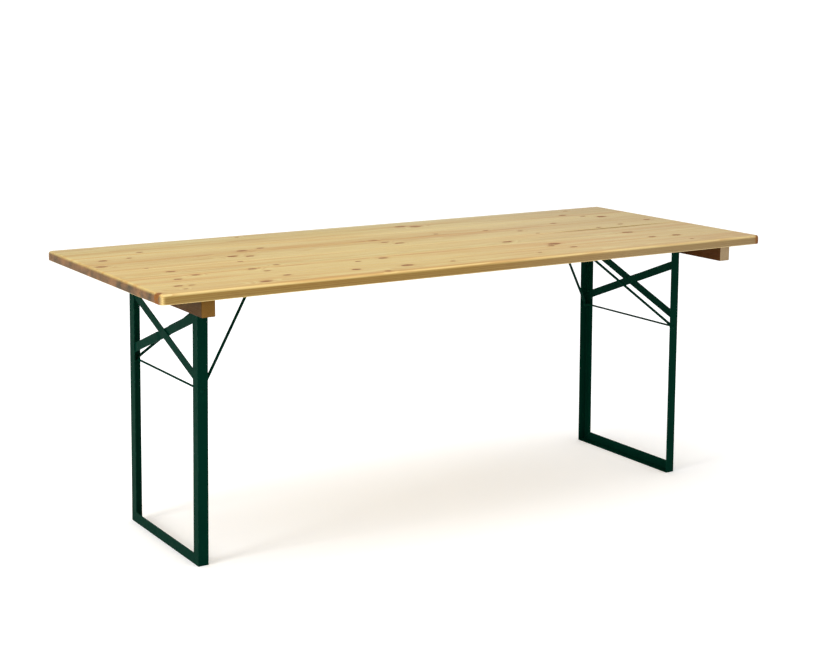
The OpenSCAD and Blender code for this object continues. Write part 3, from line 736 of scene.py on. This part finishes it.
def powder_coat(name, shade, rubbed):
    """Baked green powder: a deep satin green with a faint orange peel, dull where hands and
    grass rub it, and worn to a paler, greyer green along the edges."""
    material, tree = new_material(name)
    place = add(tree, "ShaderNodeTexCoord")["Object"]
    cloud = add(tree, "ShaderNodeTexNoise", {"Vector": place, "Scale": cells(111), "Detail": 3.0})[0]
    peel = add(tree, "ShaderNodeTexNoise", {"Vector": place, "Scale": cells(2.38), "Detail": 1.0})[0]
    scuffs = add(tree, "ShaderNodeTexNoise", {"Vector": place, "Scale": cells(13.33), "Detail": 5.0,
                                              "Roughness": 0.65})[0]
    colour = add(tree, "ShaderNodeMix", {0: cloud, 6: srgb(shade), 7: srgb(rubbed)},
                 data_type="RGBA")[2]
    flat = add(tree, "ShaderNodeNewGeometry")["Normal"]
    soft = add(tree, "ShaderNodeBevel", {"Radius": 1.6 * MM}, samples=4)[0]
    alike = add(tree, "ShaderNodeVectorMath", {0: flat, 1: soft}, operation="DOT_PRODUCT")["Value"]
    edge = add(tree, "ShaderNodeMapRange",
               {"Value": alike, "From Min": 0.995, "From Max": 0.9})[0]
    worn = add(tree, "ShaderNodeMapRange",
               {"Value": scuffs, "From Min": 0.5, "From Max": 0.62, "To Max": 0.8})[0]
    worn = add(tree, "ShaderNodeMath", {0: edge, 1: worn}, operation="MULTIPLY")[0]
    colour = add(tree, "ShaderNodeMix", {0: worn, 6: colour, 7: srgb("#2c5c48")},
                 data_type="RGBA")[2]
    rough = add(tree, "ShaderNodeMapRange",
                {"Value": scuffs, "From Min": 0.35, "From Max": 0.7, "To Min": 0.4,
                 "To Max": 0.6})[0]
    bump = add(tree, "ShaderNodeBump", {"Height": peel, "Strength": 0.25, "Distance": 0.15 * MM})
    shader = add(tree, "ShaderNodeBsdfPrincipled",
                 {"Base Color": colour, "Roughness": rough, "Normal": bump[0],
                  "Specular IOR Level": 0.01})
    add(tree, "ShaderNodeOutputMaterial", {"Surface": shader["BSDF"]})
    return material


green = powder_coat("green_powder_coat", "#002117", "#022c20")
SIDES = {"left": -1, "right": 1}
ENDS = ("front", "rear")
for side in SIDES:
    for end in ENDS:
        node = f"upright_{end}_{side}"
        upright = rounded_copy(node, f"angle_{node}", green, edge=0.5 * MM, root=2.2 * MM)
        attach(upright, f"leg_{side}")
        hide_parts(node)
    node = f"foot_bar_{side}"
    foot = rounded_copy(node, f"angle_{node}", green, edge=0.5 * MM, root=2.2 * MM)
    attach(foot, f"leg_{side}")
    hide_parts(node)
    for way in ("rising", "falling"):
        node = f"brace_{way}_{side}"
        brace = rounded_copy(node, f"flat_{node}", green, edge=0.6 * MM)
        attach(brace, f"leg_{side}")
        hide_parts(node)


def bead_tree():
    """Geometry nodes that lay a rippled weld along the layout's lines, one ripple at a time."""
    tree = bpy.data.node_groups.new("weld_bead", "GeometryNodeTree")
    tree.interface.new_socket("Geometry", in_out="INPUT", socket_type="NodeSocketGeometry")
    for size in ("Bead Width", "Ripple Pitch"):
        tree.interface.new_socket(size, in_out="INPUT", socket_type="NodeSocketFloat")
    tree.interface.new_socket("Seed", in_out="INPUT", socket_type="NodeSocketInt")
    tree.interface.new_socket("Coat", in_out="INPUT", socket_type="NodeSocketMaterial")
    tree.interface.new_socket("Geometry", in_out="OUTPUT", socket_type="NodeSocketGeometry")
    given = add(tree, "NodeGroupInput")
    path = add(tree, "GeometryNodeMeshToCurve", {"Mesh": given["Geometry"]})[0]
    path = add(tree, "GeometryNodeResampleCurve",
               {"Curve": path, "Length": given["Ripple Pitch"]}, mode="LENGTH")[0]
    along = add(tree, "GeometryNodeInputTangent")[0]
    turned = add(tree, "FunctionNodeAlignRotationToVector", {"Vector": along}, axis="X")[0]
    chance = add(tree, "FunctionNodeRandomValue", {"Min": 0.8, "Max": 1.15,
                                                   "Seed": given["Seed"]})
    chance = next(o for o in chance if o.enabled)
    width = add(tree, "ShaderNodeMath", {0: given["Bead Width"], 1: chance},
                operation="MULTIPLY")[0]
    half = add(tree, "ShaderNodeMath", {0: width, 1: 0.5}, operation="MULTIPLY")[0]
    size = add(tree, "ShaderNodeCombineXYZ", {0: given["Ripple Pitch"], 1: half, 2: half})[0]
    ripple = add(tree, "GeometryNodeMeshIcoSphere", {"Radius": 1.0, "Subdivisions": 2})["Mesh"]
    bead = add(tree, "GeometryNodeInstanceOnPoints",
               {"Points": path, "Instance": ripple, "Rotation": turned, "Scale": size})[0]
    solid = add(tree, "GeometryNodeRealizeInstances", {"Geometry": bead})[0]
    solid = add(tree, "GeometryNodeSetShadeSmooth", {"Geometry": solid})[0]
    solid = add(tree, "GeometryNodeSetMaterial",
                {"Geometry": solid, "Material": given["Coat"]})[0]
    add(tree, "NodeGroupOutput", {"Geometry": solid})
    return tree


# Weld lines in a frame's own plane, for the half with positive Y: along the mitre at the foot,
# and along both edges of each brace end. X is outwards from the hinge, Z up from it.
weld_bead = bead_tree()
splay = math.radians(1)
half_frame, angle_w, angle_t, half_flange = (size * MM for size in (227, 30, 3, 15))
brace_w, brace_drop, brace_slope = 25 * MM, 133 * MM, math.radians(21.3)
toe_gap, end_gap = 1 * MM, 5 * MM
inside_x = half_flange - angle_t
foot_z = -(hinge_at.z + half_flange * math.sin(splay)) / math.cos(splay)
mitre = [(inside_x, half_frame - angle_t, foot_z + angle_t),
         (inside_x, half_frame - angle_w, foot_z + angle_w)]
floor_joint = [(-half_flange + toe_gap, half_frame - angle_t, foot_z + angle_t),
               (inside_x, half_frame - angle_t, foot_z + angle_t)]
weld_lines = [mitre, floor_joint]
for slope in (-1, 1):
    for lip in (-1, 1):
        line = []
        for y in (half_frame - angle_w + toe_gap, half_frame - angle_t - end_gap):
            z = slope * y * math.tan(brace_slope) - brace_drop
            z += lip * brace_w / 2 / math.cos(brace_slope)
            line.append((inside_x, y, z))
        weld_lines.append(line)
for side, way in SIDES.items():
    points, edges = [], []
    for line in weld_lines:
        for end in (-1, 1):
            edges.append((len(points), len(points) + 1))
            for x, y, z in line:
                out = hinge_at.x + x * math.cos(splay) - z * math.sin(splay)
                up = hinge_at.z + x * math.sin(splay) + z * math.cos(splay)
                points.append((way * out, end * y, up))
    welds = from_nodes(f"weld_beads_{side}", points_object(points, edges), weld_bead, {
        "Bead Width": 3.4 * MM, "Ripple Pitch": 1.6 * MM, "Seed": 3, "Coat": green})
    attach(welds, f"leg_{side}")


# ---- Axles and bows ----------------------------------------------------------------------
# A steel rod crosses each frame, hammered into a round head outside both uprights. The bow
# of 8 mm round bar turns on it by two eyes. Both were painted with the frames.

for side in SIDES:
    axle = frame["nodes"][f"axle_{side}"]
    axle.data.materials.clear()
    axle.data.materials.append(green)
    bow = rounded_copy(f"bow_{side}", f"round_bar_bow_{side}", green, edge=0.8 * MM)
    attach(bow, f"bow_{side}")
    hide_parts(f"bow_{side}")


# ---- Hinges ------------------------------------------------------------------------------
# Four brackets, pressed and bent from 3 mm plate and screwed under the boards. The uprights
# turn on steel rivets with a washer between ear and upright.

for side in SIDES:
    for end in ENDS:
        node = f"hinge_bracket_{end}_{side}"
        bracket = rounded_copy(node, f"pressed_{node}", green, edge=0.5 * MM, root=2 * MM)
        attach(bracket, "table_top")
        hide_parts(node)
for node, metal in (("hinge_rivets", green), ("hinge_washers", zinc), ("leaf_rivets", zinc)):
    part = frame["nodes"][node]
    part.data.materials.clear()
    part.data.materials.append(metal)


# ---- Latches -----------------------------------------------------------------------------
# A keeper of bent plate under the top holds the bow's tip in its hook, and a blued spring leaf
# riveted to the keeper snaps in behind the tip.


def blued_steel():
    """Spring steel blued in oil: nearly black, with a straw and blue bloom and rolling lines."""
    material, tree = new_material("blued_spring_steel")
    place = add(tree, "ShaderNodeTexCoord")["Object"]
    bloom = add(tree, "ShaderNodeTexNoise", {"Vector": place, "Scale": cells(16.67), "Detail": 2.0})[0]
    lines_at = add(tree, "ShaderNodeVectorMath", {0: place, 1: cells(25, 0.3333, 25)},
                   operation="MULTIPLY")[0]
    lines = add(tree, "ShaderNodeTexNoise", {"Vector": lines_at, "Scale": 1.0, "Detail": 2.0})[0]
    colour = add(tree, "ShaderNodeMix", {0: bloom, 6: srgb("#3a4352"), 7: srgb("#6d5f4e")},
                 data_type="RGBA")[2]
    rough = add(tree, "ShaderNodeMath", {0: lines, 1: 0.25, 2: 0.2}, operation="MULTIPLY_ADD")[0]
    bump = add(tree, "ShaderNodeBump", {"Height": lines, "Strength": 0.2, "Distance": 0.05 * MM})
    shader = add(tree, "ShaderNodeBsdfPrincipled",
                 {"Base Color": colour, "Metallic": 1.0, "Roughness": rough, "Normal": bump[0]})
    add(tree, "ShaderNodeOutputMaterial", {"Surface": shader["BSDF"]})
    return material


blued = blued_steel()
for side in SIDES:
    keeper = rounded_copy(f"keeper_{side}", f"bent_keeper_{side}", green, edge=0.4 * MM,
                          root=1.2 * MM)
    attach(keeper, "table_top")
    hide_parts(f"keeper_{side}")
    leaf = rounded_copy(f"latch_leaf_{side}", f"spring_leaf_{side}", blued, edge=0.2 * MM,
                        root=0.6 * MM)
    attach(leaf, f"latch_{side}")
    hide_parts(f"latch_leaf_{side}")


# ---- Sizes of the CAD model and of the visual pieces -------------------------------------

sizes = {"cad": [list(corner_at) for corner_at in cad_box],
         "visual": [list(corner_at) for corner_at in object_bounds()]}
